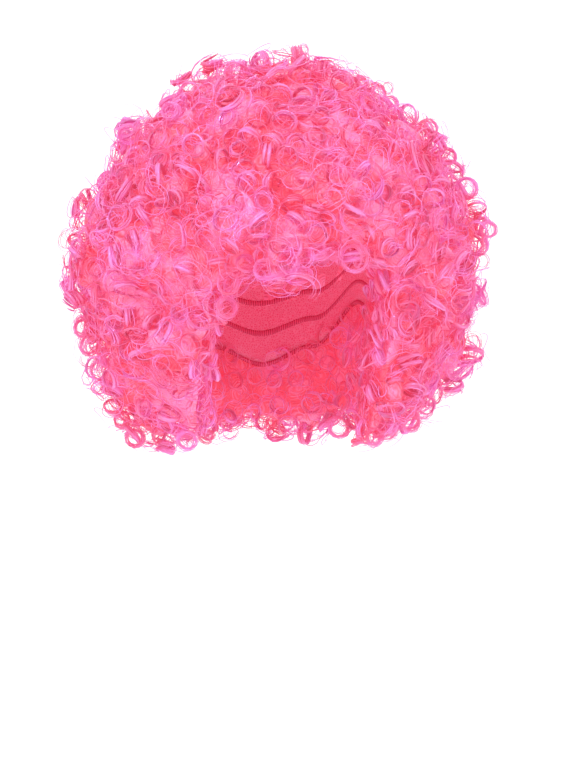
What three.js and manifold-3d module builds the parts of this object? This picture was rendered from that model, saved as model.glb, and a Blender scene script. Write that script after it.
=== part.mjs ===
// Curly afro wig: a soft net cap with five bands of curled fibre, called wefts, sewn round it.
// Millimetres, +Z up, the face looks along -Y and the wearer's left is +X.
// The origin is the inside of the cap's top, where the crown of the head meets it.
import * as THREE from "three";
import { mergeVertices } from "three/addons/utils/BufferGeometryUtils.js";
import Module from "manifold-3d";

const wasm = await Module();
wasm.setup();

// Driving dimensions

// The head that the cap is stretched over, as half sections. Widest at crownDepth below the crown.
const HEAD = { halfWidth: 72, front: 86, back: 90, crownDepth: 78 };
const NECK = { halfWidth: 60, front: 60, back: 62, taper: 95, depth: 230 };
const CAP_WALL = 1.6;
const GAP = 0.5;

// The cap's edge: how far below the crown it lies at each angle from the middle of the forehead.
const CAP_RIM = [
  { azimuth: 0, drop: 50 },
  { azimuth: 42, drop: 58 },
  { azimuth: 72, drop: 98 },
  { azimuth: 90, drop: 106 },
  { azimuth: 112, drop: 98 },
  { azimuth: 145, drop: 132 },
  { azimuth: 180, drop: 146 },
];

// The hair's outline, seen from its middle: how far it reaches at each angle above the horizon.
const MIDDLE_DROP = 60;
const HAIR_REACH = [
  { elevation: -90, side: 146, front: 106, back: 146 },
  { elevation: -70, side: 158, front: 108, back: 156 },
  { elevation: -55, side: 173, front: 112, back: 171 },
  { elevation: -38, side: 167, front: 124, back: 167 },
  { elevation: -18, side: 158, front: 133, back: 161 },
  { elevation: 0, side: 154, front: 140, back: 159 },
  { elevation: 18, side: 147, front: 145, back: 155 },
  { elevation: 38, side: 141, front: 144, back: 149 },
  { elevation: 60, side: 142, front: 144, back: 147 },
  { elevation: 90, side: 146, front: 146, back: 146 },
];
// The hair gathers in rounded clumps, spread evenly on a spiral from the crown down, with creases between.
const CLUMPS = { count: 70, top: 0.94, crease: 0.13, radius: 16 };

// The opening that the face looks out of: an arch under the fringe. The fringe is swept to the wearer's
// right, so the arch is highest on the left of the forehead and has its higher shoulder there.
const FACE = {
  halfWidth: 61, top: 56, topSide: 30, leftShoulder: 76, rightShoulder: 97, bottom: 240, reach: 260, start: 8,
};

// The front sector that belongs to the fringe.
const FRINGE = { halfAngle: 37, low: -24, high: 35 };

// One lock: a curl that lies on its clump like a comma, plump at its root and fine at its tip.
const LOCK = {
  around: 6, rows: 8, sweep: 280, bend: 16.5, rootRadius: 15, tipRadius: 7, lift: -4,
  room: 5, lowest: -58, fringeRoom: 10, fringeLowest: -10,
};

// Each weft lies between two cones round the hair's middle, from low to high above the horizon.
const WEFTS = [
  { name: "crown_weft", low: 54, high: 90 },
  { name: "upper_weft", low: 16, high: 54 },
  { name: "middle_weft", low: -20, high: 16 },
  { name: "nape_weft", low: -90, high: -20 },
];

const WIG_PINK = { color: 0xf6769f, roughness: 0.55, metalness: 0 };
const CAP_PINK = { color: 0xd9487c, roughness: 0.85, metalness: 0 };

const MESH = { around: 24, capRows: 7, neckRows: 3, hairAround: 40, hairRows: 19, farOut: 330, nearIn: 25 };

const middle = new THREE.Vector3(0, 0, -MIDDLE_DROP);
const { clamp, degToRad, lerp, radToDeg, smoothstep } = THREE.MathUtils;

// Small helpers

// Reads a column of a table at a value of its key column, straight from row to row.
function readTable(rows, key, at, column) {
  const found = rows.findIndex((row) => row[key] >= at);
  const next = found < 0 ? rows.length - 1 : Math.max(found, 1);
  const [a, b] = [rows[next - 1], rows[next]];
  const share = clamp((at - a[key]) / (b[key] - a[key]), 0, 1);
  return lerp(a[column], b[column], share);
}

// A number from 0 to 1 that looks random and is the same each time.
function scatter(index, stream) {
  const value = Math.sin(index * 12.9898 + stream * 78.233) * 43758.5453;
  return value - Math.floor(value);
}

// Moves every point of a geometry to where a function of the old point puts it.
function reshape(geometry, place) {
  const spots = geometry.attributes.position;
  const point = new THREE.Vector3();
  for (let i = 0; i < spots.count; i++) {
    const moved = place(point.fromBufferAttribute(spots, i), i);
    spots.setXYZ(i, moved.x, moved.y, moved.z);
  }
  return geometry;
}

// A closed geometry as a solid that can be cut and joined.
function solidOf(geometry) {
  geometry.deleteAttribute("normal");
  geometry.deleteAttribute("uv");
  const merged = mergeVertices(geometry, 1e-3);
  return new wasm.Manifold(
    new wasm.Mesh({
      numProp: 3,
      vertProperties: merged.attributes.position.array,
      triVerts: new Uint32Array(merged.index.array),
    }),
  );
}

function meshOf(name, solid, look) {
  const { vertProperties, triVerts } = solid.getMesh();
  const geometry = new THREE.BufferGeometry()
    .setAttribute("position", new THREE.BufferAttribute(vertProperties, 3))
    .setIndex(new THREE.BufferAttribute(triVerts, 1));
  geometry.computeVertexNormals();
  const mesh = new THREE.Mesh(geometry, new THREE.MeshStandardMaterial(look));
  mesh.name = name;
  return mesh;
}

// A turned form: one ring of points for each step of a profile, each point set by its angle and step.
function turnedSolid(steps, place) {
  const profile = steps.map((_, row) => new THREE.Vector2(1, row));
  const lathe = new THREE.LatheGeometry(profile, MESH.around);
  const turns = lathe.attributes.uv;
  const form = reshape(lathe, (_, i) => {
    const turn = (turns.getX(i) * MESH.around) % MESH.around;
    const azimuth = ((turn > MESH.around / 2 ? turn - MESH.around : turn) * 2 * Math.PI) / MESH.around;
    return place(azimuth, steps[Math.round(turns.getY(i) * (steps.length - 1))]);
  });
  return solidOf(form);
}

// Directions are given by the angle from the middle of the forehead and the angle above the horizon.
function direction(azimuth, elevation) {
  const flat = Math.cos(elevation);
  return new THREE.Vector3(flat * Math.sin(azimuth), -flat * Math.cos(azimuth), Math.sin(elevation));
}

// Head and cap

// The head's half section at a depth below the crown: a dome down to its widest level, then a taper.
function headSection(drop) {
  const { crownDepth } = HEAD;
  if (drop <= crownDepth) {
    const dome = Math.sqrt(Math.max(0, 1 - (1 - drop / crownDepth) ** 2));
    return { halfWidth: HEAD.halfWidth * dome, front: HEAD.front * dome, back: HEAD.back * dome };
  }
  const toNeck = smoothstep(drop, crownDepth, crownDepth + NECK.taper);
  const taper = (column) => lerp(HEAD[column], NECK[column], toNeck);
  return { halfWidth: taper("halfWidth"), front: taper("front"), back: taper("back") };
}

// A point on the head, moved out by an offset.
function headPoint(azimuth, drop, offset) {
  const { halfWidth, front, back } = headSection(drop);
  const depth = Math.cos(azimuth) > 0 ? front : back;
  const point = new THREE.Vector3(halfWidth * Math.sin(azimuth), -depth * Math.cos(azimuth), -drop);
  const rise = Math.max(0, HEAD.crownDepth - drop);
  return point.addScaledVector(new THREE.Vector3(point.x, point.y, rise).normalize(), offset);
}

// A point between the crown, at 0, the cap's edge, at 1, and the foot of the neck, at 2.
function capPoint(azimuth, along, offset) {
  const rim = readTable(CAP_RIM, "azimuth", Math.abs(radToDeg(azimuth)), "drop");
  const drop = along <= 1 ? rim * (1 - Math.cos((along * Math.PI) / 2)) : lerp(rim, NECK.depth, along - 1);
  return headPoint(azimuth, drop, offset);
}

function rowsBetween(from, to, count, offset) {
  return Array.from({ length: count + 1 }, (_, row) => ({ along: lerp(from, to, row / count), offset }));
}

// The cap is one wall, turned from the crown down its inside, round its edge and up its outside.
function capSolid() {
  const steps = [...rowsBetween(0, 1, MESH.capRows, 0), ...rowsBetween(1, 0, MESH.capRows, CAP_WALL)];
  return turnedSolid(steps, (azimuth, { along, offset }) => capPoint(azimuth, along, offset));
}

// The room taken up by the head, the neck and the cap, which the hair keeps clear of.
function headRoom() {
  const clear = CAP_WALL + GAP;
  const foot = { along: 2, offset: null };
  const neck = rowsBetween(2, 1, MESH.neckRows, clear).slice(0, -1);
  const steps = [foot, ...neck, ...rowsBetween(1, 0, MESH.capRows, clear)];
  return turnedSolid(steps, (azimuth, { along, offset }) =>
    offset === null ? new THREE.Vector3(0, 0, -NECK.depth) : capPoint(azimuth, along, offset),
  );
}

// Hair

// How far the hair reaches from its middle in a direction.
function hairReach(azimuth, elevation) {
  const column = (name) => readTable(HAIR_REACH, "elevation", radToDeg(elevation), name);
  const ahead = Math.cos(azimuth);
  return lerp(column("side"), column(ahead > 0 ? "front" : "back"), ahead * ahead);
}

function clumpSpots() {
  return Array.from({ length: CLUMPS.count }, (_, i) => ({
    azimuth: i * Math.PI * (3 - Math.sqrt(5)),
    elevation: Math.asin(1 - (2 * i + 1) / CLUMPS.count),
  }));
}

// A point on the backing: at its full height in the middle of a clump, lower in the creases.
function backingPoint(azimuth, elevation, lift) {
  const outward = direction(azimuth, elevation);
  const nearest = Math.min(...clumpMiddles.map((spot) => radToDeg(outward.angleTo(spot))));
  const share = CLUMPS.top - CLUMPS.crease * (nearest / CLUMPS.radius) ** 2;
  return outward.multiplyScalar(hairReach(azimuth, elevation) * share + lift).add(middle);
}

function hairBall() {
  const ball = new THREE.SphereGeometry(1, MESH.hairAround, MESH.hairRows).rotateX(Math.PI / 2);
  const grown = reshape(ball, (point) => {
    const azimuth = Math.atan2(point.x, -point.y);
    return backingPoint(azimuth, Math.asin(clamp(point.z, -1, 1)), 0);
  });
  return solidOf(grown);
}

// The arch that leaves the face free, drawn from the front and pushed through the hair.
function faceOpening() {
  const { halfWidth, top, topSide, leftShoulder, rightShoulder, bottom, reach, start } = FACE;
  const quarter = Math.PI / 2;
  const arch = new THREE.Shape();
  arch.moveTo(-halfWidth, -bottom);
  arch.lineTo(halfWidth, -bottom);
  arch.lineTo(halfWidth, -leftShoulder);
  arch.absellipse(topSide, -leftShoulder, halfWidth - topSide, leftShoulder - top, 0, quarter);
  arch.absellipse(topSide, -rightShoulder, halfWidth + topSide, rightShoulder - top, quarter, Math.PI);
  const tunnel = new THREE.ExtrudeGeometry(arch, {
    depth: reach - start,
    bevelEnabled: false,
    curveSegments: 4,
  });
  return solidOf(tunnel.rotateX(Math.PI / 2).translate(0, -start, 0));
}

// The space between two cones round the hair's middle, drawn in by a margin at each cone.
function coneSpace(low, high, margin) {
  const { farOut, nearIn } = MESH;
  const onCone = (angle, distance, shift) => {
    const turn = degToRad(angle);
    return new THREE.Vector2(distance * Math.cos(turn), distance * Math.sin(turn) + shift);
  };
  const lowNear = onCone(low, nearIn, margin);
  const lowFar = onCone(low, farOut, margin);
  const highFar = onCone(high, farOut, -margin);
  const highNear = onCone(high, nearIn, -margin);
  let profile = [lowNear, lowFar, highFar, highNear, lowNear];
  if (high === 90) {
    const lid = new THREE.Vector2(lowFar.x, farOut);
    profile = [new THREE.Vector2(0, lowNear.y), lowNear, lowFar, lid, new THREE.Vector2(0, farOut)];
  }
  if (low === -90) {
    const foot = new THREE.Vector2(highFar.x, -farOut);
    profile = [new THREE.Vector2(0, -farOut), foot, highFar, highNear, new THREE.Vector2(0, highNear.y)];
  }
  const space = new THREE.LatheGeometry(profile, MESH.around);
  return solidOf(space.rotateX(Math.PI / 2).translate(0, 0, -MIDDLE_DROP));
}

// The space in front that belongs to the fringe.
function fringeSpace(margin) {
  const half = degToRad(FRINGE.halfAngle);
  const tip = -margin / Math.sin(half);
  const side = MESH.farOut * Math.tan(half);
  const fan = new THREE.Shape([
    new THREE.Vector2(0, tip),
    new THREE.Vector2(-side, tip - MESH.farOut),
    new THREE.Vector2(side, tip - MESH.farOut),
  ]);
  const depth = 2 * MESH.farOut;
  const sector = new THREE.ExtrudeGeometry(fan, { depth, bevelEnabled: false }).translate(0, 0, -MESH.farOut);
  return solidOf(sector).intersect(coneSpace(FRINGE.low, FRINGE.high, margin));
}

// A lock: a ball drawn out round a bend. It lies on the backing at its own turn and winds left or right.
function lockSolid(azimuth, elevation, seed) {
  const outward = direction(azimuth, elevation);
  const east = new THREE.Vector3(Math.cos(azimuth), Math.sin(azimuth), 0);
  const turn = scatter(seed, 1) * 2 * Math.PI;
  const along = new THREE.Vector3().crossVectors(outward, east).multiplyScalar(Math.sin(turn));
  along.addScaledVector(east, Math.cos(turn));
  const side = new THREE.Vector3().crossVectors(outward, along);
  const place = new THREE.Matrix4().makeBasis(along, side, outward);
  place.setPosition(backingPoint(azimuth, elevation, LOCK.lift));
  const scale = lerp(0.9, 1.1, scatter(seed, 2));
  const hand = scatter(seed, 3) < 0.5 ? -1 : 1;
  const ball = new THREE.SphereGeometry(1, LOCK.around, LOCK.rows).rotateZ(-Math.PI / 2);
  const curl = reshape(ball, (point) => {
    const share = (point.x + 1) / 2;
    const angle = degToRad(LOCK.sweep) * share;
    const thick = lerp(LOCK.rootRadius, LOCK.tipRadius, share);
    const reach = LOCK.bend - hand * thick * point.y;
    return new THREE.Vector3(reach * Math.sin(angle), -hand * reach * Math.cos(angle), thick * point.z)
      .multiplyScalar(scale)
      .applyMatrix4(place);
  });
  return solidOf(curl);
}

// A weft: the backing, joined with the locks that have room between the weft's edges, cut to its space.
function weftSolid(space, hasRoom) {
  let weft = backing;
  clumpSpots().forEach(({ azimuth, elevation }, seed) => {
    const ahead = Math.abs(radToDeg(Math.atan2(Math.sin(azimuth), Math.cos(azimuth))));
    if (hasRoom(ahead, radToDeg(elevation))) weft = weft.add(lockSolid(azimuth, elevation, seed));
  });
  return weft.intersect(space).subtract(room);
}

// Assembly

const clumpMiddles = clumpSpots().map(({ azimuth, elevation }) => direction(azimuth, elevation));
const room = headRoom();
const backing = hairBall().subtract(faceOpening());
const fringeOut = fringeSpace(-GAP / 2);
const part = new THREE.Group();
part.name = "afro_wig";
part.add(meshOf("wig_cap", capSolid(), CAP_PINK));
WEFTS.forEach(({ name, low, high }) => {
  const space = coneSpace(low, high, GAP / 2).subtract(fringeOut);
  const hasRoom = (ahead, elevation) => {
    const besideFringe = ahead > FRINGE.halfAngle + LOCK.room || elevation > FRINGE.high + LOCK.room;
    const lowEnough = high === 90 || elevation < high - LOCK.room;
    return besideFringe && lowEnough && elevation > Math.max(low + LOCK.room, LOCK.lowest);
  };
  part.add(meshOf(name, weftSolid(space, hasRoom), WIG_PINK));
});
const onFringe = (ahead, elevation) => {
  const belowUpper = elevation < FRINGE.high - LOCK.room;
  return belowUpper && ahead < FRINGE.halfAngle - LOCK.fringeRoom && elevation > LOCK.fringeLowest;
};
part.add(meshOf("fringe_weft", weftSolid(fringeSpace(GAP / 2), onFringe), WIG_PINK));

export default part;
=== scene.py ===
import math

import bmesh
import bpy
import numpy as np
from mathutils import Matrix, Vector, noise
from mathutils.bvhtree import BVHTree


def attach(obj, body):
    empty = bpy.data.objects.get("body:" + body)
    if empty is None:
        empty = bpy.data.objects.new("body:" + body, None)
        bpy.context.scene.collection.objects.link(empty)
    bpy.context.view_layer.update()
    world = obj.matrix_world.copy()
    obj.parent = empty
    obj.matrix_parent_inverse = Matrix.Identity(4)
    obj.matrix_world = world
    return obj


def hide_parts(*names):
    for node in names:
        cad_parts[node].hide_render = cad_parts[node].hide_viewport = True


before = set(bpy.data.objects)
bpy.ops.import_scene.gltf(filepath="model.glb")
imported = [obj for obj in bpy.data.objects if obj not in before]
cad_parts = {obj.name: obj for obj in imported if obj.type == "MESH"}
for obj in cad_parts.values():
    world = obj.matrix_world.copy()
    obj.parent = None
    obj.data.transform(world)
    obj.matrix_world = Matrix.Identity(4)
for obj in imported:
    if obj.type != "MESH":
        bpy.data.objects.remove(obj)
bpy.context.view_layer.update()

MM = 0.001

# Camera: a long lens a little to the wearer's right and slightly above, in an upright frame with
# the hair in its upper half.
CAMERA_TURN = math.radians(-10)
CAMERA_RISE = math.radians(4)
CAMERA_DISTANCE = 2.2
CAMERA_LENS = 141.3
VIEW_RIGHT = 7.3 * MM
VIEW_HEIGHT = -156 * MM

toward_camera = Vector((
    math.sin(CAMERA_TURN) * math.cos(CAMERA_RISE),
    -math.cos(CAMERA_TURN) * math.cos(CAMERA_RISE),
    math.sin(CAMERA_RISE),
))
camera_right = Vector((math.cos(CAMERA_TURN), math.sin(CAMERA_TURN), 0))
view_middle = camera_right * VIEW_RIGHT + Vector((0, 0, VIEW_HEIGHT))
camera_data = bpy.data.cameras.new("camera")
camera_data.lens = CAMERA_LENS
camera = bpy.data.objects.new("camera", camera_data)
camera.location = view_middle + toward_camera * CAMERA_DISTANCE
camera.rotation_euler = (-toward_camera).to_track_quat("-Z", "Y").to_euler()
bpy.context.collection.objects.link(camera)
bpy.context.scene.camera = camera

# Wig cap: the stretch net skull cap that carries the hair, knitted nylon dyed like the fibre.
# It is stretched over the head, so its threads open into small cells.
HEAD_HALF_WIDTH = 72 * MM
HEAD_FRONT = 86 * MM
HEAD_BACK = 90 * MM
HEAD_DEPTH = 78 * MM
NECK_HALF_WIDTH = 60 * MM
NECK_FRONT = 60 * MM
NECK_BACK = 62 * MM
NECK_TAPER = 95 * MM
EDGE_ANGLES = (0, 42, 72, 90, 112, 145, 180)
EDGE_DROPS = (50 * MM, 58 * MM, 98 * MM, 106 * MM, 98 * MM, 132 * MM, 146 * MM)
NET_INSIDE = 0.2 * MM
NET_WALL = 1.0 * MM
NET_COLUMNS = 96
NET_ROWS = 48
BELOW_EQUATOR = -0.001
CELLS_PER_METRE = 620.0
THREAD_EDGES = (0.05, 0.22)
THREAD_STRENGTH = 0.5
THREAD_HEIGHT = 0.3 * MM
NET_ROUGHNESS = 0.7
NET_SHADES = (
    (0.0, (0.90, 0.13, 0.27)),
    (1.0, (0.95, 0.28, 0.48)),
)


def ease(share):
    """Runs from 0 to 1 with a soft start and a soft end."""
    share = min(max(share, 0.0), 1.0)
    return share * share * (3 - 2 * share)


def cap_point(azimuth, along, offset):
    """A point of the cap: along is 0 at the crown and 1 at the edge, offset lifts it off the head."""
    place = float(np.interp(abs(math.degrees(azimuth)), EDGE_ANGLES, range(len(EDGE_ANGLES))))
    edge = float(np.interp(int(place) + ease(place % 1), range(len(EDGE_DROPS)), EDGE_DROPS))
    drop = edge * (1 - math.cos(along * math.pi / 2))
    dome = math.sqrt(max(0.0, 1 - max(0.0, 1 - drop / HEAD_DEPTH) ** 2))
    taper = ease((drop - HEAD_DEPTH) / NECK_TAPER)
    ahead = math.cos(azimuth) > 0
    head_depth = HEAD_FRONT if ahead else HEAD_BACK
    neck_depth = NECK_FRONT if ahead else NECK_BACK
    half_width = (HEAD_HALF_WIDTH + (NECK_HALF_WIDTH - HEAD_HALF_WIDTH) * taper) * dome
    depth = (head_depth + (neck_depth - head_depth) * taper) * dome
    point = Vector((half_width * math.sin(azimuth), -depth * math.cos(azimuth), -drop))
    outward = Vector((point.x, point.y, max(0.0, HEAD_DEPTH - drop)))
    return point + outward.normalized() * offset


def to_mesh(name, made):
    """Turns a bmesh into a mesh, and lets go of the bmesh."""
    mesh = bpy.data.meshes.new(name)
    made.to_mesh(mesh)
    made.free()
    return mesh


def add_piece(name, mesh, material, slot, *nodes):
    """Puts a mesh in the scene as a piece of the wig, which stands for these CAD nodes."""
    piece = bpy.data.objects.new(name, mesh)
    bpy.context.collection.objects.link(piece)
    mesh.materials.append(material)
    mesh.shade_smooth()
    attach(piece, "root")
    if nodes:
        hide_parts(*nodes)
    return piece


def add_node(tree, kind, inputs=None, **settings):
    """Adds a shader node. An input is a value or the socket that feeds it."""
    made = tree.nodes.new(kind)
    for name, value in settings.items():
        setattr(made, name, value)
    for name, value in (inputs or {}).items():
        if isinstance(value, bpy.types.NodeSocket):
            tree.links.new(value, made.inputs[name])
        else:
            made.inputs[name].default_value = value
    return made


def add_ramp(tree, factor, stops):
    """Adds a colour ramp of (position, colour) stops."""
    ramp = add_node(tree, "ShaderNodeValToRGB", {"Fac": factor})
    while len(ramp.color_ramp.elements) < len(stops):
        ramp.color_ramp.elements.new(1.0)
    for element, (position, colour) in zip(ramp.color_ramp.elements, stops):
        element.position = position
        element.color = (*colour, 1.0)
    return ramp.outputs["Color"]


def new_material(name):
    """A new material, its node tree and its shader."""
    material = bpy.data.materials.new(name)
    material.use_nodes = True
    tree = material.node_tree
    return material, tree, tree.nodes["Principled BSDF"]


cap_net, tree, shader = new_material("cap_net")
place = add_node(tree, "ShaderNodeTexCoord").outputs["Object"]
cells = add_node(
    tree, "ShaderNodeTexVoronoi", {"Vector": place, "Scale": CELLS_PER_METRE}, feature="DISTANCE_TO_EDGE",
)
thread = add_node(tree, "ShaderNodeMapRange", {
    "Value": cells.outputs["Distance"],
    "From Min": THREAD_EDGES[0],
    "From Max": THREAD_EDGES[1],
    "To Min": 1.0,
    "To Max": 0.0,
})
shader.inputs["Roughness"].default_value = NET_ROUGHNESS
tree.links.new(add_ramp(tree, thread.outputs[0], NET_SHADES), shader.inputs["Base Color"])
bump = add_node(tree, "ShaderNodeBump", {
    "Height": thread.outputs[0],
    "Strength": THREAD_STRENGTH,
    "Distance": THREAD_HEIGHT,
})
tree.links.new(bump.outputs["Normal"], shader.inputs["Normal"])

net = bmesh.new()
bmesh.ops.create_uvsphere(net, u_segments=NET_COLUMNS, v_segments=NET_ROWS, radius=1)
lower_half = [vert for vert in net.verts if vert.co.z < BELOW_EQUATOR]
bmesh.ops.delete(net, geom=lower_half, context="VERTS")
for vert in net.verts:
    along = math.acos(min(vert.co.z, 1.0)) / (math.pi / 2)
    vert.co = cap_point(math.atan2(vert.co.x, -vert.co.y), along, NET_INSIDE)
bmesh.ops.recalc_face_normals(net, faces=net.faces)
bmesh.ops.solidify(net, geom=net.faces[:], thickness=-NET_WALL)
add_piece("cap_net", to_mesh("cap_net", net), cap_net, "cap_net", "wig_cap")

# Cap edge: a rolled band of ribbed elastic, sewn over the raw edge of the net all the way round.
# It is a small ring of round section, laid along the edge.
BAND_RADIUS = 1.7 * MM
BAND_STEPS = 160
RING_SIDES = 8
RING_MERGE = 0.01 * MM
RIBS = 300
RIB_HEIGHT = 0.4 * MM
ELASTIC_ROUGHNESS = 0.65
# The elastic's own colour on the ribs, and painted shade in the grooves between them.
ELASTIC_COLOUR_AND_GROOVE_SHADE = (
    (0.0, (0.60, 0.03, 0.12)),
    (1.0, (0.92, 0.14, 0.30)),
)

elastic, tree, shader = new_material("ribbed_elastic")
place = add_node(tree, "ShaderNodeTexCoord").outputs["Object"]
axes = add_node(tree, "ShaderNodeSeparateXYZ", {"Vector": place}).outputs
turn = add_node(tree, "ShaderNodeMath", {0: axes["X"], 1: axes["Y"]}, operation="ARCTAN2")
ribs = add_node(tree, "ShaderNodeMath", {0: turn.outputs[0], 1: RIBS}, operation="MULTIPLY")
rib_wave = add_node(tree, "ShaderNodeMath", {0: ribs.outputs[0]}, operation="SINE")
rib_height = add_node(tree, "ShaderNodeMapRange", {"Value": rib_wave.outputs[0], "From Min": -1.0})
# Painted shade: the elastic is coloured darker where the rib height is low, in the grooves between the
# ribs.
tree.links.new(add_ramp(tree, rib_height.outputs[0], ELASTIC_COLOUR_AND_GROOVE_SHADE), shader.inputs["Base Color"])
bump = add_node(tree, "ShaderNodeBump", {"Height": rib_height.outputs[0], "Distance": RIB_HEIGHT})
tree.links.new(bump.outputs["Normal"], shader.inputs["Normal"])
shader.inputs["Roughness"].default_value = ELASTIC_ROUGHNESS


def ring(radius, steps):
    """A ring of round section: the section's radius is given, and the ring's own is one more."""
    made = bmesh.new()
    bmesh.ops.create_circle(made, segments=RING_SIDES, radius=radius)
    for vert in made.verts:
        vert.co = Vector((1 + radius + vert.co.x, 0, vert.co.y))
    bmesh.ops.spin(
        made, geom=made.verts[:] + made.edges[:], axis=(0, 0, 1), cent=(0, 0, 0),
        angle=2 * math.pi, steps=steps, use_merge=True,
    )
    bmesh.ops.remove_doubles(made, verts=made.verts, dist=RING_MERGE)
    return made


band = ring(BAND_RADIUS, BAND_STEPS)
for vert in band.verts:
    azimuth = math.atan2(vert.co.x, -vert.co.y)
    outward = math.hypot(vert.co.x, vert.co.y) - 1 - BAND_RADIUS
    rise = Vector((0, 0, vert.co.z))
    vert.co = cap_point(azimuth, 1, NET_INSIDE + NET_WALL / 2 + outward) + rise
bmesh.ops.recalc_face_normals(band, faces=band.faces)
add_piece("cap_edge", to_mesh("cap_edge", band), elastic, "cap_net")

# Weft tracks: the tapes that the wefts are sewn on, in rows round the inside of the cap.
# Flat woven elastic with a cross rib, laid on the net.
TRACK_ROWS = (0.36, 0.47, 0.58, 0.69, 0.80, 0.90)
TRACK_STEPS = 150
TRACK_HALF_WIDTH = 1.7 * MM
TRACK_HALF_DEPTH = 0.45 * MM
TRACK_SECTION = 1
CAP_LENGTH = 190 * MM

for number, row in enumerate(TRACK_ROWS):
    tape = ring(TRACK_SECTION, TRACK_STEPS)
    for vert in tape.verts:
        azimuth = math.atan2(vert.co.x, -vert.co.y)
        outward = (math.hypot(vert.co.x, vert.co.y) - 1 - TRACK_SECTION) * TRACK_HALF_DEPTH
        along = row - vert.co.z * TRACK_HALF_WIDTH / CAP_LENGTH
        vert.co = cap_point(azimuth, along, outward)
    bmesh.ops.recalc_face_normals(tape, faces=tape.faces)
    name = f"weft_track_{number}"
    add_piece(name, to_mesh(name, tape), elastic, "cap_net")

# Weft masses: the matted depth of each weft, fibre teased so densely that single strands don't
# show. Each is the weft's own solid, drawn in a little where it is open, with a curly surface.
WEFTS = ("crown", "upper", "middle", "nape", "fringe")
HAIR_MIDDLE = Vector((0, 0, -60 * MM))
MASS_DEPTH = 4.5 * MM
MASS_MERGE = 0.02 * MM
MASS_SMOOTHING = 4
MASS_SHARP_ANGLE = math.radians(60)
SEAM_SHARE = 0.75
FREE_START = 0.1 * MM
FREE_SPACE = 8 * MM
RELIEF_REACH = 28 * MM
RELIEF_HEIGHT = 12 * MM
RELIEF_PAINTED_SHADE = 0.4

CLUMP_SIZE = 45 * MM
CLUMP_CHANGE = 1.6
CURL_SIZE = 17 * MM
CURL_PAINTED_SHADE = 0.45
CURL_EDGES = (0.25, 0.8)
CURL_WARP = 7 * MM
CURL_RELIEF = 4 * MM
CURL_STRENGTH = 0.35
STRANDS_IN_CURL = 8
STRAND_GROOVE_SHADE = (0.14, 0.46)
STRAND_HEIGHT = 0.4 * MM
TANGLE_SCALE = 90.0
TANGLE_TURN = 24.0
MATTED_ROUGHNESS = 0.55
MATTED_GLOW = (1.0, 0.07, 0.13, 1.0)
MATTED_GLOW_STRENGTH = 0.37
# Low levels give coral, the colour of the painted shade in creases and grooves.
MATTED_SHADES = (
    (0.0, (0.66, 0.11, 0.18)),
    (0.35, (0.66, 0.24, 0.43)),
    (0.8, (0.66, 0.28, 0.55)),
)


def curl_cells(tree, place):
    """Uneven cells of about a curl's size: 0 in the middle of each, and near 1 where they meet."""
    wander = add_node(
        tree, "ShaderNodeTexNoise", {"Vector": place, "Scale": 1 / CURL_SIZE, "Detail": 1.0},
    )
    warped = add_node(
        tree, "ShaderNodeVectorMath",
        {0: wander.outputs["Color"], 1: (CURL_WARP, CURL_WARP, CURL_WARP), 2: place},
        operation="MULTIPLY_ADD",
    )
    cells = add_node(
        tree, "ShaderNodeTexVoronoi", {"Vector": warped.outputs[0], "Scale": 1 / CURL_SIZE}, feature="F1",
    )
    return cells.outputs["Distance"]


def clump_tone_and_curl_shade(tree, place):
    """Random tone that changes from clump to clump, plus painted shade: pink on a curl and coral in the
    crease beside it.
    """
    clumps = add_node(
        tree, "ShaderNodeTexNoise", {"Vector": place, "Scale": 1 / CLUMP_SIZE, "Detail": 2.0},
    )
    slow = add_node(
        tree, "ShaderNodeMapRange",
        {"Value": clumps.outputs["Fac"], "To Min": -CLUMP_CHANGE / 2, "To Max": CLUMP_CHANGE / 2},
        clamp=False,
    )
    # Painted shade: coral where the curl cells meet, in the creases between curls.
    quick = add_node(
        tree, "ShaderNodeMapRange",
        {
            "Value": curl_cells(tree, place),
            "From Min": CURL_EDGES[0],
            "From Max": CURL_EDGES[1],
            "To Min": CURL_PAINTED_SHADE / 2,
            "To Max": -CURL_PAINTED_SHADE / 2,
        },
        interpolation_type="SMOOTHSTEP",
    )
    return add_node(tree, "ShaderNodeMath", {0: slow.outputs[0], 1: quick.outputs[0]}).outputs[0]


mass_fibre, tree, shader = new_material("matted_fibre")
place = add_node(tree, "ShaderNodeTexCoord").outputs["Object"]
cells = curl_cells(tree, place)
turns = add_node(
    tree, "ShaderNodeMath", {0: cells, 1: 2 * math.pi * STRANDS_IN_CURL}, operation="MULTIPLY",
)
tangle = add_node(tree, "ShaderNodeTexNoise", {"Vector": place, "Scale": TANGLE_SCALE, "Detail": 2.0})
bands = add_node(
    tree, "ShaderNodeMath", {0: tangle.outputs["Fac"], 1: TANGLE_TURN, 2: turns.outputs[0]},
    operation="MULTIPLY_ADD",
)
strands = add_node(tree, "ShaderNodeMath", {0: bands.outputs[0]}, operation="SINE")
strand_height = add_node(tree, "ShaderNodeMapRange", {"Value": strands.outputs[0], "From Min": -1.0})
# Painted shade: the matted strands are coloured coral in the grooves between them and pinker on their
# tops, from the same height that bumps them.
strand_groove_shade = add_node(tree, "ShaderNodeMapRange", {
    "Value": strand_height.outputs[0],
    "To Min": STRAND_GROOVE_SHADE[0],
    "To Max": STRAND_GROOVE_SHADE[1],
})
strand_shade = add_node(
    tree, "ShaderNodeMath", {0: strand_groove_shade.outputs[0], 1: clump_tone_and_curl_shade(tree, place)},
)
relief = add_node(tree, "ShaderNodeAttribute", attribute_name="relief").outputs["Fac"]
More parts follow.
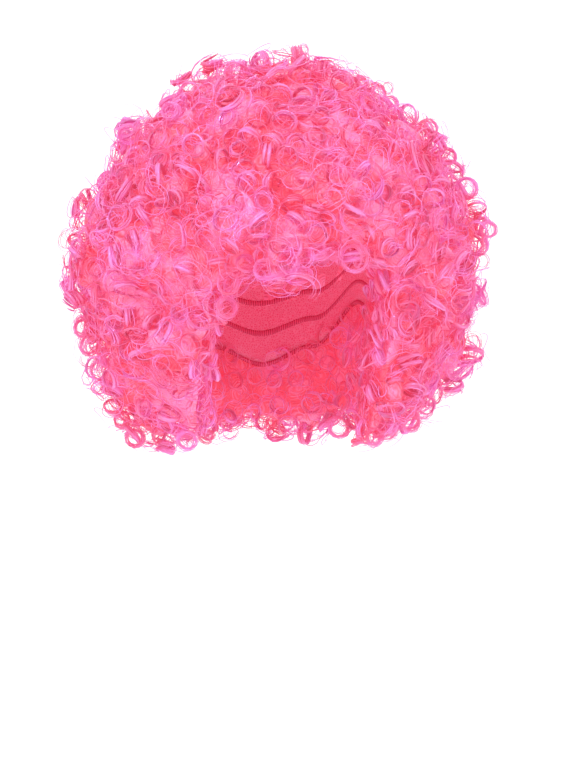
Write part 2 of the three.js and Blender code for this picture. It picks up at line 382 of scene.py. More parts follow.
# Painted shade: the mass is coloured more coral in its creases, where it lies lower than the hair round
# it.
crease = add_node(tree, "ShaderNodeMath", {0: relief, 1: 0.0}, operation="MINIMUM")
level = add_node(
    tree, "ShaderNodeMath", {0: crease.outputs[0], 1: RELIEF_PAINTED_SHADE, 2: strand_shade.outputs[0]},
    operation="MULTIPLY_ADD",
)
tree.links.new(add_ramp(tree, level.outputs[0], MATTED_SHADES), shader.inputs["Base Color"])
lump = add_node(
    tree, "ShaderNodeBump", {"Height": cells, "Strength": CURL_STRENGTH, "Distance": CURL_RELIEF},
    invert=True,
)
bump = add_node(tree, "ShaderNodeBump", {
    "Height": strand_height.outputs[0],
    "Distance": STRAND_HEIGHT,
    "Normal": lump.outputs["Normal"],
})
tree.links.new(bump.outputs["Normal"], shader.inputs["Normal"])
shader.inputs["Roughness"].default_value = MATTED_ROUGHNESS
shader.inputs["Emission Color"].default_value = MATTED_GLOW
shader.inputs["Emission Strength"].default_value = MATTED_GLOW_STRENGTH


def weft_triangles(weft):
    """The corners of a weft's triangles, as an array of triangles by corners by axes."""
    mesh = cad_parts[weft + "_weft"].data
    mesh.calc_loop_triangles()
    corners = np.empty(len(mesh.vertices) * 3)
    mesh.vertices.foreach_get("co", corners)
    order = np.empty(len(mesh.loop_triangles) * 3, dtype=np.int32)
    mesh.loop_triangles.foreach_get("vertices", order)
    return corners.reshape(-1, 3)[order].reshape(-1, 3, 3)


def solids_tree():
    """All the solids of the wig, to look for what lies in front of a face."""
    points = []
    faces = []
    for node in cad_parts.values():
        first = len(points)
        points.extend(vert.co.copy() for vert in node.data.vertices)
        faces.extend(tuple(first + i for i in face.vertices) for face in node.data.polygons)
    return BVHTree.FromPolygons(points, faces)


solids = solids_tree()


def is_free(centre, normal):
    """Whether a face has open space in front of it, and doesn't lie against another piece."""
    return solids.ray_cast(centre + normal * FREE_START, normal, FREE_SPACE)[0] is None


def relief_of(points):
    """How far points of the hair stand out from the hair round them, from -1 in a crease to 1."""
    heights = np.linalg.norm(points - np.array(HAIR_MIDDLE), axis=1)
    near = np.linalg.norm(points[:, None] - points[None], axis=2) < RELIEF_REACH
    return np.clip((heights - near @ heights / near.sum(axis=1)) / RELIEF_HEIGHT, -1, 1)


for weft in WEFTS:
    mass = bmesh.new()
    mass.from_mesh(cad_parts[weft + "_weft"].data)
    bmesh.ops.remove_doubles(mass, verts=mass.verts, dist=MASS_MERGE)
    mass.normal_update()
    relief_layer = mass.verts.layers.float.new("relief")
    seam_layer = mass.verts.layers.float.new("seam")
    relief = relief_of(np.array([vert.co for vert in mass.verts]))
    for vert, value in zip(mass.verts, relief):
        vert[relief_layer] = value
    open_way = {vert: Vector() for vert in mass.verts}
    for face in mass.faces:
        free = is_free(face.calc_center_median(), face.normal)
        for vert in face.verts:
            if free:
                open_way[vert] += face.normal * face.calc_area()
            else:
                vert[seam_layer] = 1
    for vert, way in open_way.items():
        vert.co -= way.normalized() * MASS_DEPTH
    bmesh.ops.subdivide_edges(mass, edges=mass.edges, cuts=1, use_grid_fill=True)
    loose = [vert for vert in mass.verts if vert[seam_layer] < SEAM_SHARE]
    for _ in range(MASS_SMOOTHING):
        bmesh.ops.smooth_vert(
            mass, verts=loose, factor=0.5, use_axis_x=True, use_axis_y=True, use_axis_z=True,
        )
    mass_mesh = to_mesh(weft + "_mass", mass)
    add_piece(weft + "_mass", mass_mesh, mass_fibre, "curled_fibre", weft + "_weft")
    mass_mesh.set_sharp_from_angle(angle=MASS_SHARP_ANGLE)

# Fluff: the loose fine curls that cover the masses, glossy synthetic fibre that was steamed round
# thin rods and then combed out. Some lie on the mass, some stand end-on, some are open waves, and
# those on the inner walls stay low. Lengths of a curl are in millimetres and angles in degrees.
FLUFF = {
    "name": "fluff", "spacing": 8.4 * MM, "points": 10, "tint": 0.36,
    "spread": (0.9, 1.3), "half_width": (0.45, 0.28),
    "curls": (
        {
            "share": 0.40, "tilt": 14, "sway": 12, "radius": (5.0, 8.5), "turns": (0.9, 1.5),
            "pitch": (5.0, 8.0), "lift": 0.0, "along": 1.7, "across": 0.05,
        },
        {
            "share": 0.28, "tilt": 64, "sway": 14, "radius": (5.0, 8.5), "turns": (0.9, 1.5),
            "pitch": (4.0, 7.0), "lift": -1.5, "along": 1.5, "across": 0.12,
        },
        {
            "share": 0.32, "tilt": 78, "sway": 10, "radius": (9.0, 14.0), "turns": (0.45, 0.75),
            "pitch": (3.0, 6.0), "lift": 1.0, "along": 0.8, "across": 0.14,
        },
    ),
    "inside": {
        "tilt": 72, "sway": 10, "radius": (5.0, 8.5), "turns": (0.8, 1.3), "pitch": (2.0, 4.0),
        "lift": 0.5, "along": 1.2, "across": 0.12,
    },
}
ROOT_TRIES = 10
INSIDE_LIMIT = -0.2
FACE_SHARE = 0.45
RADIAL_SHARE = 0.55

DRIFT_SIZE = 45 * MM
DRIFT_PULL = 1.2
DROOP_PULL = 0.45
LYING_TILT = 45
LYING_START = 0.6
STRAND_LENGTHS = (0.8, 1.0)
STRAND_WIDTHS = (0.8, 1.2)
MOST_DEPTH = 0.24 * MM
TURN_SPREAD = 0.12
NARROWING = 0.22
RIPPLES = (1, 2.5)
RIPPLE_HEIGHT = 0.5 * MM
TWIST_SPREAD = 0.25
TAPER_PLACES = (0, 0.15, 0.6, 1)
TAPER = (0.55, 1, 1, 0.25)

RISE_PAINTED_SHADE = 0.30
RISE_HEIGHT = 8 * MM
RISE_START = 0.3
TINT_SPREAD = 0.08
STREAK_SCALE = (2.0, 14.0, 1.0)
STREAK_CHANGE = 0.25
STREAK_STRENGTH = 0.4
STREAK_HEIGHT = 0.05 * MM
GLOSS = (0.10, 0.26)
SHEEN = (0.75, 0.40, 1.0, 1.0)
FIBRE_IOR = 1.8
FIBRE_GLOW = (1.0, 0.08, 0.17, 1.0)
FIBRE_GLOW_STRENGTH = 0.73
THROUGH_SHARE = 0.5
# Low levels give coral, the colour of the painted shade, and high levels give pale lilac, the colour of
# the painted light on outer strands.
FIBRE_SHADES = (
    (0.0, (0.64, 0.15, 0.23)),
    (0.35, (0.64, 0.29, 0.48)),
    (0.7, (0.64, 0.36, 0.66)),
    (1.0, (0.64, 0.40, 0.78)),
)

LOCK_SIDES = 3
PATTERN_SHIFT = (7.31, 3.17)
ROOT_END = (-0.05, -0.02, -0.05)
TIP_END = (1.05, 1.02, 1.05)
END_ROOM = 0.06
CELL_EDGE = 0.08
CELL_FILL = 0.84
CELLS_IN_ROW = 24

SEED = 11
rng = np.random.default_rng(SEED)
noise.seed_set(SEED)

curled_fibre, tree, shader = new_material("curled_fibre")
tint = add_node(tree, "ShaderNodeAttribute", attribute_name="tint").outputs["Fac"]
place = add_node(tree, "ShaderNodeTexCoord").outputs["Object"]
fibre_map = add_node(tree, "ShaderNodeUVMap", uv_map="Fibre").outputs["UV"]
stretched = add_node(tree, "ShaderNodeMapping", {"Vector": fibre_map, "Scale": STREAK_SCALE})
streaks = add_node(
    tree, "ShaderNodeTexNoise", {"Vector": stretched.outputs[0], "Scale": 1.0, "Detail": 3.0},
)
streak_shade = add_node(tree, "ShaderNodeMapRange", {
    "Value": streaks.outputs["Fac"],
    "To Min": -STREAK_CHANGE,
    "To Max": STREAK_CHANGE,
})
strand_shade = add_node(tree, "ShaderNodeMath", {0: tint, 1: streak_shade.outputs[0]})
# The strands also get the clump tone and the painted shade between curls.
level = add_node(tree, "ShaderNodeMath", {0: strand_shade.outputs[0], 1: clump_tone_and_curl_shade(tree, place)})
fibre_colour = add_ramp(tree, level.outputs[0], FIBRE_SHADES)
tree.links.new(fibre_colour, shader.inputs["Base Color"])
gloss = add_node(tree, "ShaderNodeMapRange", {
    "Value": streaks.outputs["Fac"],
    "To Min": GLOSS[0],
    "To Max": GLOSS[1],
})
tree.links.new(gloss.outputs[0], shader.inputs["Roughness"])
shader.inputs["Specular Tint"].default_value = SHEEN
shader.inputs["Specular IOR Level"].default_value = 1.0
shader.inputs["IOR"].default_value = FIBRE_IOR
bump = add_node(tree, "ShaderNodeBump", {
    "Height": streaks.outputs["Fac"],
    "Strength": STREAK_STRENGTH,
    "Distance": STREAK_HEIGHT,
})
tree.links.new(bump.outputs["Normal"], shader.inputs["Normal"])
shader.inputs["Emission Color"].default_value = FIBRE_GLOW
shader.inputs["Emission Strength"].default_value = FIBRE_GLOW_STRENGTH
glow = add_node(tree, "ShaderNodeBsdfTranslucent", {"Color": fibre_colour})
through = add_node(
    tree, "ShaderNodeMixShader", {0: THROUGH_SHARE, 1: shader.outputs[0], 2: glow.outputs[0]},
)
tree.links.new(through.outputs[0], tree.nodes["Material Output"].inputs["Surface"])


def unit(vectors):
    """The vectors, each made one long."""
    return vectors / np.maximum(np.linalg.norm(vectors, axis=-1, keepdims=True), 1e-9)


def dot(one, other):
    """The dot product of each pair of vectors."""
    return (one * other).sum(axis=-1, keepdims=True)


def spread_roots(weft, spacing):
    """Points spread evenly on the open faces of a weft, the way out of each, and whether it is inside."""
    triangles = weft_triangles(weft)
    cross = np.cross(triangles[:, 1] - triangles[:, 0], triangles[:, 2] - triangles[:, 0])
    areas = np.linalg.norm(cross, axis=1) / 2
    normals = unit(cross)
    centres = triangles.mean(axis=1)
    free = np.array([is_free(Vector(c), Vector(n)) for c, n in zip(centres, normals)])
    weights = areas * free
    tries = int(ROOT_TRIES * weights.sum() / spacing ** 2)
    picked = rng.choice(len(weights), size=tries, p=weights / weights.sum())
    first = np.sqrt(rng.random(tries))
    second = rng.random(tries)
    mix = np.stack([1 - first, first * (1 - second), first * second], axis=1)
    points = np.einsum("ij,ijk->ik", mix, triangles[picked])
    kept = []
    taken = np.full((tries, 3), np.inf)
    for i, point in enumerate(points):
        if ((taken[:len(kept) + 1] - point) ** 2).sum(axis=1).min() > spacing ** 2:
            taken[len(kept)] = point
            kept.append(i)
    roots = points[kept]
    faces = normals[picked[kept]]
    radial = unit(roots - np.array(HAIR_MIDDLE))
    inside = dot(faces, radial)[:, 0] < INSIDE_LIMIT
    outward = np.where(inside[:, None], faces, unit(faces * FACE_SHARE + radial * RADIAL_SHARE))
    return roots, outward, inside


def wind_strands(curls, spread, points):
    """Winds strands round the axis of each curl. Gives their middle lines and how each lies flat."""
    def column(name):
        return curls[name][:, None, None]

    shape = (len(curls["middle"]), len(spread), 1)
    spread = spread[None, :, None]
    share = np.linspace(0, 1, points) * rng.uniform(*STRAND_LENGTHS, size=shape)
    angle = column("start") + column("sweep") * share + spread * rng.normal(0, TURN_SPREAD, size=shape)
    wider = 1 + spread * column("across") * rng.normal(size=shape)
    bend = column("radius") * (1 - NARROWING * share) * wider
    climb = column("length") * share + spread * column("along") * rng.normal(size=shape)
    beside = np.cross(curls["axis"], curls["over"])
    paths = curls["middle"][:, None, None] + curls["axis"][:, None, None] * climb[..., None]
    paths = paths + curls["over"][:, None, None] * (bend * np.cos(angle))[..., None]
    paths = paths + beside[:, None, None] * (bend * np.sin(angle))[..., None]
    ripple = rng.uniform(*RIPPLES, size=shape + (3,)) * share[..., None] + rng.random(shape + (3,))
    paths = paths + RIPPLE_HEIGHT * np.sin(2 * math.pi * ripple)
    flat = curls["axis"][:, None] + TWIST_SPREAD * rng.normal(size=shape[:2] + (3,))
    return paths, flat


def grow_curls(roots, outward, curl, layer):
    """Curls of one kind at their roots: middle lines of the strands, how each lies flat, and tints."""
    count = len(roots)
    points = layer["points"]
    spread = np.array(layer["spread"])
    drift = np.array([noise.noise_vector(Vector(root) / DRIFT_SIZE) for root in roots]).reshape(-1, 3)
    loose = unit(rng.normal(size=(count, 3))) + DRIFT_PULL * drift + DROOP_PULL * np.array((0, 0, -1.0))
    tangent = unit(loose - dot(loose, outward) * outward)
    tilt = np.radians(curl["tilt"] + curl["sway"] * rng.normal(size=(count, 1)))
    turns = rng.uniform(*curl["turns"], size=count)
    lying = curl["tilt"] < LYING_TILT
    start, start_spread = (math.pi, LYING_START) if lying else (0, math.pi)
    curls = {
        "middle": roots + outward * curl["lift"] * MM,
        "axis": np.cos(tilt) * tangent + np.sin(tilt) * outward,
        "over": np.cos(tilt) * outward - np.sin(tilt) * tangent,
        "radius": rng.uniform(*curl["radius"], size=count) * MM,
        "length": rng.uniform(*curl["pitch"], size=count) * turns * MM,
        "sweep": rng.choice((-1, 1), size=count) * turns * 2 * math.pi,
        "start": start + rng.uniform(-1, 1, size=count) * start_spread,
        "along": np.full(count, curl["along"] * MM),
        "across": np.full(count, curl["across"]),
    }
    paths, flat = wind_strands(curls, spread, points)
    rise = dot(paths - roots[:, None, None], outward[:, None, None])[..., 0]
    # Painted light and shade: each strand is coloured pinker where it stands out beyond its root and more
    # coral where it lies deeper.
    tints = layer["tint"] + RISE_PAINTED_SHADE * np.clip(rise / RISE_HEIGHT - RISE_START, -1, 1)
    # Painted light and shade: strands rooted where the hair stands out are coloured pinker, and those
    # rooted in creases more coral.
    tints = tints + RELIEF_PAINTED_SHADE * relief_of(roots)[:, None, None]
    tints = tints + TINT_SPREAD * rng.normal(size=(count, 1, 1))
    tints = tints + TINT_SPREAD * rng.normal(size=(count, len(spread), 1))
    return paths.reshape(-1, points, 3), flat.reshape(-1, 3), tints.reshape(-1, points)


def lock_corners(paths, flat, half_width, half_depth):
    """The corners of three-sided locks along the paths, finer at their ends, with a flat side inward."""
    ways = unit(np.gradient(paths, axis=1))
    sides = unit(flat[:, None, :] - dot(flat[:, None, :], ways) * ways)
    backs = np.cross(ways, sides)
    hollow = dot(backs, np.gradient(ways, axis=1)).sum(axis=1, keepdims=True)
    sides = np.where(hollow > 0, -sides, sides)
    backs = np.where(hollow > 0, -backs, backs)
    taper = np.interp(np.linspace(0, 1, paths.shape[1]), TAPER_PLACES, TAPER)
    wide = half_width[:, None] * taper
    deep = half_depth[:, None] * taper
    across = np.stack([-wide, wide, 0 * wide], axis=-1)[..., None]
    above = np.stack([-deep, -deep, deep], axis=-1)[..., None]
    return paths[:, :, None] + sides[:, :, None] * across + backs[:, :, None] * above


def add_lock_maps(mesh, count, points):
    """Maps the locks: Fibre runs along each for its streaks, and OFBake gives each a cell of its own."""
    span = np.linspace(0, 1, points)
    edge = np.arange(LOCK_SIDES)
    full = (count, points - 1, LOCK_SIDES)
    low_u, high_u = span[:-1][None, :, None], span[1:][None, :, None]
    low_v, high_v = edge[None, None, :] / LOCK_SIDES, (edge[None, None, :] + 1) / LOCK_SIDES
    quad_u = np.stack([np.broadcast_to(u, full) for u in (low_u, low_u, high_u, high_u)], axis=-1)
    quad_v = np.stack([np.broadcast_to(v, full) for v in (low_v, high_v, high_v, low_v)], axis=-1)
    cap_u = np.concatenate([np.tile(ROOT_END, (count, 1)), np.tile(TIP_END, (count, 1))])
    cap_v = np.tile((0.0, 0.5, 1.0), (2 * count, 1))
    all_u = np.concatenate([quad_u.ravel(), cap_u.ravel()])
    all_v = np.concatenate([quad_v.ravel(), cap_v.ravel()])
    owner = np.concatenate([
        np.repeat(np.arange(count), (points - 1) * LOCK_SIDES * 4),
        np.repeat(np.tile(np.arange(count), 2), LOCK_SIDES),
    ])
    pattern = np.stack([all_u + owner * PATTERN_SHIFT[0], all_v + owner * PATTERN_SHIFT[1]], axis=1)
    columns = max(1, round(math.sqrt(count / CELLS_IN_ROW)))
    rows = math.ceil(count / columns)
    inside_u = (all_u + END_ROOM) / (1 + 2 * END_ROOM)
    cell_u = (owner % columns + CELL_EDGE + CELL_FILL * inside_u) / columns
    cell_v = (owner // columns + CELL_EDGE + CELL_FILL * all_v) / rows
    for layer, values in (("Fibre", pattern), ("OFBake", np.stack([cell_u, cell_v], axis=1))):
        uv = mesh.uv_layers.new(name=layer)
        uv.data.foreach_set("uv", values.astype(np.float32).ravel())
    mesh.uv_layers["Fibre"].active_render = True


def lock_mesh(name, paths, flat, tints, half_width, half_depth):
    """One mesh of closed locks along the paths, with their maps and tints."""
    count, points = tints.shape
    verts = lock_corners(paths, flat, half_width, half_depth)
    index = np.arange(count * points * LOCK_SIDES).reshape(count, points, LOCK_SIDES)
    ahead = np.roll(index, -1, axis=2)
    quads = np.stack([index[:, :-1], ahead[:, :-1], ahead[:, 1:], index[:, 1:]], axis=-1).reshape(-1, 4)
    caps = np.concatenate([index[:, 0, ::-1], index[:, -1]])
    mesh = bpy.data.meshes.new(name)
    mesh.vertices.add(verts.size // 3)
    mesh.vertices.foreach_set("co", verts.astype(np.float32).ravel())
    corners = np.concatenate([quads.ravel(), caps.ravel()]).astype(np.int32)
    mesh.loops.add(len(corners))
    mesh.loops.foreach_set("vertex_index", corners)
    sizes = np.concatenate([np.full(len(quads), 4), np.full(len(caps), LOCK_SIDES)])
    starts = np.concatenate([[0], np.cumsum(sizes)[:-1]])
    mesh.polygons.add(len(sizes))
    mesh.polygons.foreach_set("loop_start", starts.astype(np.int32))
    add_lock_maps(mesh, count, points)
    tint_layer = mesh.attributes.new("tint", "FLOAT", "POINT")
    tint_layer.data.foreach_set("value", np.repeat(tints.ravel(), LOCK_SIDES).astype(np.float32))
    mesh.update()
    mesh.validate()
    return mesh


def add_layer(weft, layer):
    """Covers the open faces of a weft with one layer of curls, as one piece."""
    roots, outward, inside = spread_roots(weft, layer["spacing"])
    draw = rng.random(len(roots))
    parts = []
    reached = 0.0
    for curl in layer["curls"]:
        chosen = ~inside & (draw >= reached) & (draw < reached + curl["share"])
        reached += curl["share"]
        parts.append(grow_curls(roots[chosen], outward[chosen], curl, layer))
    if "inside" in layer:
        parts.append(grow_curls(roots[inside], outward[inside], layer["inside"], layer))
    paths, flat, tints = (np.concatenate(arrays) for arrays in zip(*parts))
    each = len(paths) // len(layer["spread"])
    half_width = np.tile(np.array(layer["half_width"]) * MM, each)
    half_width = half_width * rng.uniform(*STRAND_WIDTHS, size=len(paths))
    half_depth = np.minimum(half_width, MOST_DEPTH)
    name = weft + "_" + layer["name"]
    mesh = lock_mesh(name, paths, flat, tints, half_width, half_depth)
    add_piece(name, mesh, curled_fibre, "curled_fibre", weft + "_weft")


for weft in WEFTS:
    add_layer(weft, FLUFF)

# Ringlets: the curls that have kept their shape, flat ribbons of parallel locks wound into springy
# rings. They lie over the fluff, with their gloss on the outside of each ring.
RINGLETS = {
    "name": "ringlets", "spacing": 15 * MM, "points": 17, "tint": 0.42,
    "spread": (0.35, 0.5, 0.7, 1.0, 1.2), "half_width": (1.55, 1.25, 0.80, 0.36, 0.28),
    "curls": (
        {
            "share": 0.45, "tilt": 14, "sway": 12, "radius": (6.5, 10.0), "turns": (1.1, 1.7),
            "pitch": (5.0, 7.0), "lift": 0.0, "along": 1.9, "across": 0.05,
        },
        {
            "share": 0.35, "tilt": 64, "sway": 14, "radius": (6.5, 10.0), "turns": (1.2, 1.8),
            "pitch": (4.0, 6.0), "lift": 0.0, "along": 1.6, "across": 0.10,
        },
        {
            "share": 0.20, "tilt": 74, "sway": 10, "radius": (9.0, 13.0), "turns": (0.5, 0.8),
            "pitch": (4.0, 7.0), "lift": 3.0, "along": 1.2, "across": 0.10,
        },
    ),
    "inside": {
        "tilt": 66, "sway": 12, "radius": (6.0, 9.0), "turns": (1.0, 1.5), "pitch": (3.0, 5.0),
        "lift": 0.5, "along": 1.4, "across": 0.10,
    },
}
for weft in WEFTS:
    add_layer(weft, RINGLETS)

# Frizz: single fine fibres that have slipped out of their curls and lie loosely over the ringlets.
# They are the same synthetic fibre, and soften the outline. Their high tint is painted light on these
# outermost fibres.
FRIZZ = {
    "name": "frizz", "spacing": 11.5 * MM, "points": 11, "tint": 0.60,
    "spread": (2.2, 2.2), "half_width": (0.22, 0.20),
    "curls": (
        {
            "share": 1.0, "tilt": 55, "sway": 30, "radius": (6.0, 11.0), "turns": (0.6, 1.3),
            "pitch": (4.0, 9.0), "lift": 2.5, "along": 1.5, "across": 0.15,
        },
    ),
}
for weft in WEFTS:
    add_layer(weft, FRIZZ)

# Stray curls: the loops that stand out round the outline and hang over the brow, the same fibre.
# Each is a bundle of fine strands that grows from its own root on the hair.
# Each row gives the picture point over the root, how far the loop's middle is to the right of the
# root and above it, its radius, turns and length, and in degrees how far its axis leans up from the
# view where it does. Lengths are in millimetres. A loop that isn't full has few strands.
STRAY_CURLS = (
    {"over": (301, 66), "right": 1, "up": 12, "radius": 4.0, "turns": 1.2, "length": 3, "full": False},
    {"over": (236, 82), "right": -1, "up": 7, "radius": 8.0, "turns": 2.0, "length": 6},
    {"over": (196, 96), "right": -4, "up": 4, "radius": 7.0, "turns": 1.5, "length": 6},
    {"over": (176, 118), "right": -3, "up": 4, "radius": 6.5, "turns": 2.0, "length": 6},
    {"over": (136, 138), "right": -5, "up": 4, "radius": 7.0, "turns": 1.7, "length": 9},
    {"over": (112, 182), "right": -4, "up": 1, "radius": 8.5, "turns": 2.0, "length": 6},
    {"over": (80, 242), "right": -7, "up": 0, "radius": 7.0, "turns": 1.5, "length": 6, "full": False},
    {"over": (82, 328), "right": -4, "up": 0, "radius": 8.0, "turns": 2.0, "length": 8},
    {"over": (90, 345), "right": -5, "up": -2, "radius": 7.5, "turns": 1.8, "length": 8},
    {"over": (84, 368), "right": -11, "up": -4, "radius": 5.0, "turns": 0.8, "length": 6, "full": False},
    {"over": (115, 412), "right": -3, "up": -8, "radius": 6.5, "turns": 2.0, "length": 9},
    {"over": (135, 425), "right": 0, "up": -9, "radius": 7.0, "turns": 2.2, "length": 9},
    {"over": (185, 425), "right": 2, "up": -10, "radius": 7.5, "turns": 2.0, "length": 9},
    {"over": (205, 420), "right": 2, "up": -9, "radius": 6.0, "turns": 2.0, "length": 9},
    {"over": (352, 416), "right": -9, "up": -8, "radius": 8.0, "turns": 2.2, "length": 9},
    {"over": (372, 424), "right": 0, "up": -10, "radius": 6.5, "turns": 2.0, "length": 9},
    {"over": (410, 416), "right": 5, "up": -8, "radius": 7.0, "turns": 1.8, "length": 9},
    {"over": (432, 405), "right": 6, "up": -6, "radius": 6.5, "turns": 1.8, "length": 9, "full": False},
    {"over": (455, 342), "right": 12, "up": -2, "radius": 8.5, "turns": 1.2, "length": 4, "full": False},
    {"over": (472, 296), "right": 9, "up": 0, "radius": 7.0, "turns": 1.8, "length": 6},
    {"over": (474, 262), "right": 9, "up": 0, "radius": 6.5, "turns": 1.4, "length": 5, "full": False},
    {"over": (474, 230), "right": 10, "up": 0, "radius": 6.0, "turns": 1.8, "length": 6},
    {"over": (464, 196), "right": 9, "up": 2, "radius": 8.0, "turns": 1.7, "length": 6},
    {"over": (440, 162), "right": 5, "up": 3, "radius": 7.0, "turns": 1.8, "length": 6},
    {"over": (422, 134), "right": 4, "up": 4, "radius": 6.5, "turns": 1.6, "length": 6},
    {"over": (390, 100), "right": 5, "up": 5, "radius": 7.0, "turns": 1.6, "length": 6},
    {"over": (376, 88), "right": 6, "up": 7, "radius": 7.5, "turns": 1.8, "length": 7},
    {"over": (362, 80), "right": 2, "up": 6, "radius": 8.0, "turns": 1.8, "length": 7},
    {"over": (352, 74), "right": 1, "up": 5, "radius": 7.0, "turns": 1.6, "length": 7},
    {"over": (385, 90), "right": 9, "up": 14, "radius": 4.5, "turns": 1.1, "length": 4, "full": False},
    {"over": (214, 268), "right": 10, "up": -12, "radius": 8.0, "turns": 1.6, "length": 8},
    {"over": (212, 295), "right": 8, "up": -10, "radius": 8.0, "turns": 1.7, "length": 8, "lean": 20},
    {"over": (245, 255), "right": 0, "up": -8, "radius": 7.0, "turns": 1.8, "length": 8, "lean": 30},
    {"over": (262, 255), "right": 2, "up": -10, "radius": 7.0, "turns": 1.6, "length": 8, "lean": 10},
    {"over": (278, 250), "right": -2, "up": -20, "radius": 9.0, "turns": 1.4, "length": 4, "lean": 70},
    {"over": (296, 248), "right": 3, "up": -21, "radius": 9.0, "turns": 1.4, "length": 4, "lean": 70},
    {"over": (288, 248), "right": 0, "up": -10, "radius": 8.0, "turns": 1.6, "length": 8, "lean": 20},
    {"over": (318, 246), "right": 0, "up": -6, "radius": 6.5, "turns": 1.8, "length": 8, "lean": 20},
    {"over": (333, 243), "right": 0, "up": -7, "radius": 6.0, "turns": 1.8, "length": 8, "lean": 30},
    {"over": (352, 238), "right": 3, "up": -14, "radius": 10.0, "turns": 1.6, "length": 9, "lean": 35},
)
STRAY_POINTS = 19
STRAY_STRANDS = 13
FEW_STRANDS = 4
STRAY_SPREAD = np.linspace(2.4, 0.6, STRAY_STRANDS)
STRAY_HALF_WIDTH = np.linspace(0.13, 0.30, STRAY_STRANDS) * MM
STRAY_DEPTH = 0.3 * MM
STRAY_SWAY = 0.3
STRAY_START = 0.4
STRAY_ALONG = 1.0 * MM
STRAY_ACROSS = 0.06
STRAY_TINT = 0.55
FRAME_HEIGHT = 768
FRAME_MIDDLE = (288, 384)
PIXEL = camera_data.sensor_width / camera_data.lens * CAMERA_DISTANCE / FRAME_HEIGHT
camera_up = toward_camera.cross(camera_right)


def root_under(pixel):
    """The point of the hair that shows at a pixel of the picture, or the nearest on its outline."""
    right = (pixel[0] - FRAME_MIDDLE[0]) * PIXEL
    up = (FRAME_MIDDLE[1] - pixel[1]) * PIXEL
    aim = view_middle + camera_right * right + camera_up * up
    hit = solids.ray_cast(camera.location, (aim - camera.location).normalized())[0]
    return hit or solids.find_nearest(aim)[0]


def stray_arrays(rows):
    """The curls of the table as arrays for wind_strands, seen nearly end-on where they don't lean."""
    count = len(rows)
    roots = np.array([root_under(row["over"]) for row in rows])
    shift = np.array([camera_right * row["right"] + camera_up * row["up"] for row in rows]) * MM
    lean = np.radians([row.get("lean", 0) for row in rows])[:, None]
    straight = np.cos(lean) * np.array(toward_camera) + np.sin(lean) * np.array(camera_up)
    axis = unit(straight + STRAY_SWAY * rng.normal(size=(count, 3)))
    inward = unit(-shift)
    over = unit(inward - dot(inward, axis) * axis)
    turns = np.array([row["turns"] for row in rows])
    return {
        "middle": roots + shift,
        "axis": axis,
        "over": over,
        "radius": np.array([row["radius"] for row in rows]) * MM,
        "length": np.array([row["length"] for row in rows]) * MM,
        "sweep": rng.choice((-1, 1), size=count) * turns * 2 * math.pi,
        "start": rng.uniform(-STRAY_START, STRAY_START, size=count),
        "along": np.full(count, STRAY_ALONG),
        "across": np.full(count, STRAY_ACROSS),
    }


stray_parts = []
for full in (True, False):
    rows = [row for row in STRAY_CURLS if row.get("full", True) == full]
    kept = slice(0, STRAY_STRANDS if full else FEW_STRANDS)
    paths, flat = wind_strands(stray_arrays(rows), STRAY_SPREAD[kept], STRAY_POINTS)
    width = np.tile(STRAY_HALF_WIDTH[kept], len(rows))
    tints = STRAY_TINT + TINT_SPREAD * rng.normal(size=(len(width), 1))
    tints = np.broadcast_to(tints, (len(width), STRAY_POINTS))
    stray_parts.append((paths.reshape(-1, STRAY_POINTS, 3), flat.reshape(-1, 3), tints, width))
paths, flat, tints, width = (np.concatenate(arrays) for arrays in zip(*stray_parts))
strays = lock_mesh("stray_curls", paths, flat, tints, width, np.minimum(width, STRAY_DEPTH))
add_piece("stray_curls", strays, curled_fibre, "curled_fibre")

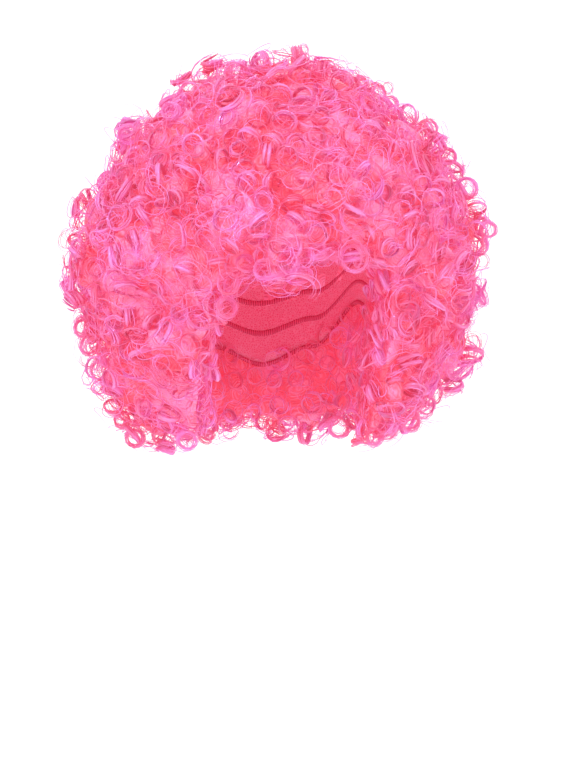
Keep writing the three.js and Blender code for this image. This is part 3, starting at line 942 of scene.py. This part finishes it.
# Stage: a plain pale floor that sweeps up into a plain backdrop, both white paper.
FLOOR_HEIGHT = -0.75
FLOOR_HALF = 6
WALL_HEIGHT = 8
SWEEP_RADIUS = 2
SWEEP_STEPS = 16
PAPER_COLOUR = (0.97, 0.97, 0.97, 1.0)
PAPER_ROUGHNESS = 0.9
PAPER_GLOW = (1.0, 1.0, 1.0, 1.0)
PAPER_GLOW_STRENGTH = 0.15
paper, tree, shader = new_material("white_paper")
shader.inputs["Base Color"].default_value = PAPER_COLOUR
shader.inputs["Roughness"].default_value = PAPER_ROUGHNESS
shader.inputs["Emission Color"].default_value = PAPER_GLOW
shader.inputs["Emission Strength"].default_value = PAPER_GLOW_STRENGTH
sweep = bmesh.new()
bmesh.ops.create_grid(sweep, x_segments=1, y_segments=1, size=FLOOR_HALF)
for vert in sweep.verts:
    vert.co.z = FLOOR_HEIGHT
far_edge = [edge for edge in sweep.edges if all(vert.co.y > 0 for vert in edge.verts)]
raised = bmesh.ops.extrude_edge_only(sweep, edges=far_edge)["geom"]
for item in raised:
    if isinstance(item, bmesh.types.BMVert):
        item.co.z += WALL_HEIGHT
bmesh.ops.bevel(
    sweep, geom=far_edge, offset=SWEEP_RADIUS, segments=SWEEP_STEPS, profile=0.5,
    affect="EDGES", material=-1,
)
sweep_mesh = to_mesh("paper_sweep", sweep)
sweep_mesh.materials.append(paper)
paper_sweep = bpy.data.objects.new("paper_sweep", sweep_mesh)
bpy.context.collection.objects.link(paper_sweep)

# Light: a white room, a small bright light in front on the left, a soft one on the right and a soft
# one behind. Places and sizes are in metres and powers in watts.
ROOM_COLOUR = (1, 1, 1, 1)
ROOM_STRENGTH = 1.03
LIGHTS = (
    {"name": "key", "spot": (-0.9, -1.3, 0.9), "size": 0.25, "power": 18},
    {"name": "fill", "spot": (1.2, -1.0, 0.3), "size": 0.9, "power": 6},
    {"name": "back", "spot": (0.3, 1.2, 1.0), "size": 0.8, "power": 14},
)
BOUNCES = 16
SOFT_BOUNCES = 12
world = bpy.data.worlds.new("studio")
world.use_nodes = True
world.node_tree.nodes["Background"].inputs["Color"].default_value = ROOM_COLOUR
world.node_tree.nodes["Background"].inputs["Strength"].default_value = ROOM_STRENGTH
scene = bpy.context.scene
scene.world = world
for row in LIGHTS:
    light = bpy.data.lights.new(row["name"], "AREA")
    light.size = row["size"]
    light.energy = row["power"]
    lamp = bpy.data.objects.new(row["name"], light)
    lamp.location = row["spot"]
    lamp.rotation_euler = (HAIR_MIDDLE - Vector(row["spot"])).to_track_quat("-Z", "Y").to_euler()
    bpy.context.collection.objects.link(lamp)
scene.view_settings.view_transform = "Standard"
scene.cycles.max_bounces = BOUNCES
scene.cycles.diffuse_bounces = SOFT_BOUNCES
scene.cycles.transmission_bounces = SOFT_BOUNCES
